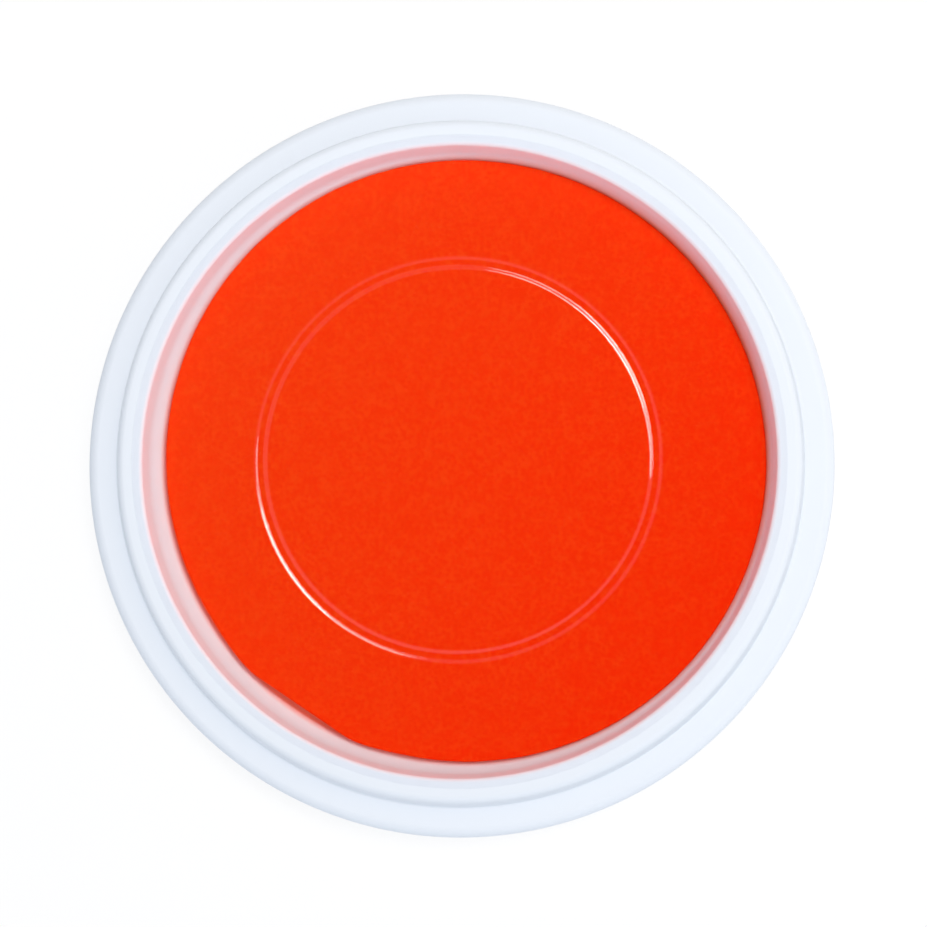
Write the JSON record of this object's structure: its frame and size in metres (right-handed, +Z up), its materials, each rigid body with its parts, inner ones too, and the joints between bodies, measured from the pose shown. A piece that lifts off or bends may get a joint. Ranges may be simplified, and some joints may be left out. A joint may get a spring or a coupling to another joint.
{
  "type": "stamp pad",
  "caption": "Shallow round tray holding a disc of inked foam, closed by a clear stepped cap that lifts straight off, for inking large rubber stamps or hands.",
  "frame": {"origin": "centre of the round foot, on the surface that the pad stands on", "axes": "+Z up along the tray's axis, the way the cap lifts; +X to the right and +Y to the top of the picture"},
  "size_m": [0.15, 0.15, 0.015],
  "materials": {
    "milky_plastic": "moulded natural polypropylene, milky and satin",
    "clear_plastic": "moulded clear polystyrene, a glossy window in a frosted brim",
    "inked_foam": "fine open-cell foam soaked in orange-red ink, matte",
    "bonding_film": "double-sided bonding film"
  },
  "bodies": {
    "base": {"base_tray": "milky_plastic", "pad_adhesive": "bonding_film", "ink_foam": "inked_foam"},
    "lid": {"lid": "clear_plastic"}
  },
  "joints": [
    {"name": "lid_lift", "type": "slide", "parent": "base", "child": "lid", "axis": [0, 0, 1], "range_m": [0, 0.04]}
  ]
}
